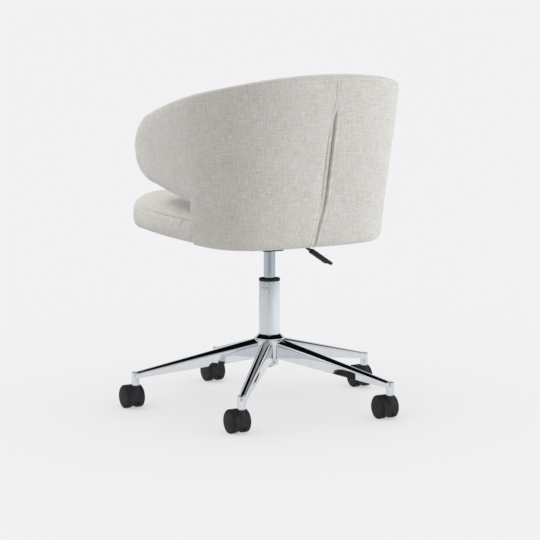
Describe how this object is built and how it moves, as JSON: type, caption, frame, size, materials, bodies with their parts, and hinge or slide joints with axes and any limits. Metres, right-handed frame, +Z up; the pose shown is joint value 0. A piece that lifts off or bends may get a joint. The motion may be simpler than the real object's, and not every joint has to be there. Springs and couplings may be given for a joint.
{
  "type": "swivel office chair",
  "caption": "Padded barrel-back office chair with wrap-around arms on a height-adjustable swivel column and a castered star base.",
  "frame": {"origin": "middle of the footprint box, on the floor that the casters stand on; the column axis stands at x 10 mm, y 36 mm", "axes": "+Z up along the column, -Y the way the sitter faces, +X the sitter's left"},
  "size_m": [0.6533, 0.6589, 0.81],
  "materials": {
    "upholstery": "heathered woven cloth",
    "chrome": "polished",
    "satin_tube": "satin silver",
    "steel": "ground",
    "black_steel": "satin black",
    "black_plastic": "fine moulded grain",
    "plywood": "raw plywood",
    "lining": "non-woven lining"
  },
  "bodies": {
    "base": {"base_hub": "chrome", "base_leg_1": "chrome", "base_leg_2": "chrome", "base_leg_3": "chrome", "base_leg_4": "chrome", "base_leg_5": "chrome", "column_tube": "satin_tube", "column_bush": "black_plastic", "thrust_bearing": "steel", "rod_washer": "steel", "rod_clip": "steel", "caster_stem_1": "steel", "caster_stem_2": "steel", "caster_stem_3": "steel", "caster_stem_4": "steel", "caster_stem_5": "steel"},
    "lift_rod": {"piston_rod": "steel"},
    "seat": {"gas_cylinder": "steel", "mechanism_pan": "black_steel", "mechanism_plate": "black_steel", "cone_socket": "steel", "lever_pivot": "steel", "plate_bolt_1": "steel", "plate_bolt_2": "steel", "plate_bolt_3": "steel", "plate_bolt_4": "steel", "shell_bracket_left": "steel", "shell_bracket_right": "steel", "shell_bracket_rear": "steel", "back_shell": "upholstery", "seat_cushion": "upholstery", "seat_board": "plywood", "dust_cover": "lining"},
    "lever": {"lever_rod": "black_steel", "lever_grip": "black_plastic"},
    "valve": {"valve_pin": "steel"},
    "caster_1": {"caster_hood_1": "black_plastic", "caster_axle_1": "steel"},
    "wheel_left_1": {"caster_wheel_left_1": "black_plastic"},
    "wheel_right_1": {"caster_wheel_right_1": "black_plastic"},
    "caster_2": {"caster_hood_2": "black_plastic", "caster_axle_2": "steel"},
    "wheel_left_2": {"caster_wheel_left_2": "black_plastic"},
    "wheel_right_2": {"caster_wheel_right_2": "black_plastic"},
    "caster_3": {"caster_hood_3": "black_plastic", "caster_axle_3": "steel"},
    "wheel_left_3": {"caster_wheel_left_3": "black_plastic"},
    "wheel_right_3": {"caster_wheel_right_3": "black_plastic"},
    "caster_4": {"caster_hood_4": "black_plastic", "caster_axle_4": "steel"},
    "wheel_left_4": {"caster_wheel_left_4": "black_plastic"},
    "wheel_right_4": {"caster_wheel_right_4": "black_plastic"},
    "caster_5": {"caster_hood_5": "black_plastic", "caster_axle_5": "steel"},
    "wheel_left_5": {"caster_wheel_left_5": "black_plastic"},
    "wheel_right_5": {"caster_wheel_right_5": "black_plastic"}
  },
  "joints": [
    {"name": "seat_swivel", "type": "hinge", "parent": "base", "child": "lift_rod", "pos_m": [0.01, 0.036, 0.3], "axis": [0, 0, 1], "continuous": true},
    {"name": "seat_height", "type": "slide", "parent": "lift_rod", "child": "seat", "axis": [0, 0, 1], "range_m": [-0.04, 0.06]},
    {"name": "lever_lift", "type": "hinge", "parent": "seat", "child": "lever", "pos_m": [-0.007, 0.036, 0.398], "axis": [0, 1, 0], "range_deg": [0, 7], "stiffness_Nm_per_rad": 2, "springref_deg": -5.73},
    {"name": "valve_press", "type": "slide", "parent": "seat", "child": "valve", "axis": [0, 0, -1], "range_m": [0, 0.0035]},
    {"name": "caster_swivel_1", "type": "hinge", "parent": "base", "child": "caster_1", "pos_m": [0.22462, 0.27604, 0.05], "axis": [0, 0, 1], "continuous": true},
    {"name": "wheel_spin_left_1", "type": "hinge", "parent": "caster_1", "child": "wheel_left_1", "pos_m": [0.22462, 0.25604, 0.027], "axis": [1, 0, 0], "continuous": true},
    {"name": "wheel_spin_right_1", "type": "hinge", "parent": "caster_1", "child": "wheel_right_1", "pos_m": [0.22462, 0.25604, 0.027], "axis": [1, 0, 0], "continuous": true},
    {"name": "caster_swivel_2", "type": "hinge", "parent": "base", "child": "caster_2", "pos_m": [-0.15197, 0.3143, 0.05], "axis": [0, 0, 1], "continuous": true},
    {"name": "wheel_spin_left_2", "type": "hinge", "parent": "caster_2", "child": "wheel_left_2", "pos_m": [-0.15197, 0.2943, 0.027], "axis": [1, 0, 0], "continuous": true},
    {"name": "wheel_spin_right_2", "type": "hinge", "parent": "caster_2", "child": "wheel_right_2", "pos_m": [-0.15197, 0.2943, 0.027], "axis": [1, 0, 0], "continuous": true},
    {"name": "caster_swivel_3", "type": "hinge", "parent": "base", "child": "caster_3", "pos_m": [-0.30473, -0.03205, 0.05], "axis": [0, 0, 1], "continuous": true},
    {"name": "wheel_spin_left_3", "type": "hinge", "parent": "caster_3", "child": "wheel_left_3", "pos_m": [-0.30473, -0.05205, 0.027], "axis": [1, 0, 0], "continuous": true},
    {"name": "wheel_spin_right_3", "type": "hinge", "parent": "caster_3", "child": "wheel_right_3", "pos_m": [-0.30473, -0.05205, 0.027], "axis": [1, 0, 0], "continuous": true},
    {"name": "caster_swivel_4", "type": "hinge", "parent": "base", "child": "caster_4", "pos_m": [-0.02254, -0.28435, 0.05], "axis": [0, 0, 1], "continuous": true},
    {"name": "wheel_spin_left_4", "type": "hinge", "parent": "caster_4", "child": "wheel_left_4", "pos_m": [-0.02254, -0.30435, 0.027], "axis": [1, 0, 0], "continuous": true},
    {"name": "wheel_spin_right_4", "type": "hinge", "parent": "caster_4", "child": "wheel_right_4", "pos_m": [-0.02254, -0.30435, 0.027], "axis": [1, 0, 0], "continuous": true},
    {"name": "caster_swivel_5", "type": "hinge", "parent": "base", "child": "caster_5", "pos_m": [0.30462, -0.09394, 0.05], "axis": [0, 0, 1], "continuous": true},
    {"name": "wheel_spin_left_5", "type": "hinge", "parent": "caster_5", "child": "wheel_left_5", "pos_m": [0.30462, -0.11394, 0.027], "axis": [1, 0, 0], "continuous": true},
    {"name": "wheel_spin_right_5", "type": "hinge", "parent": "caster_5", "child": "wheel_right_5", "pos_m": [0.30462, -0.11394, 0.027], "axis": [1, 0, 0], "continuous": true}
  ],
  "couplings": [
    {"joint": "valve_press", "follows": "lever_lift", "m_per_rad": 0.021}
  ]
}
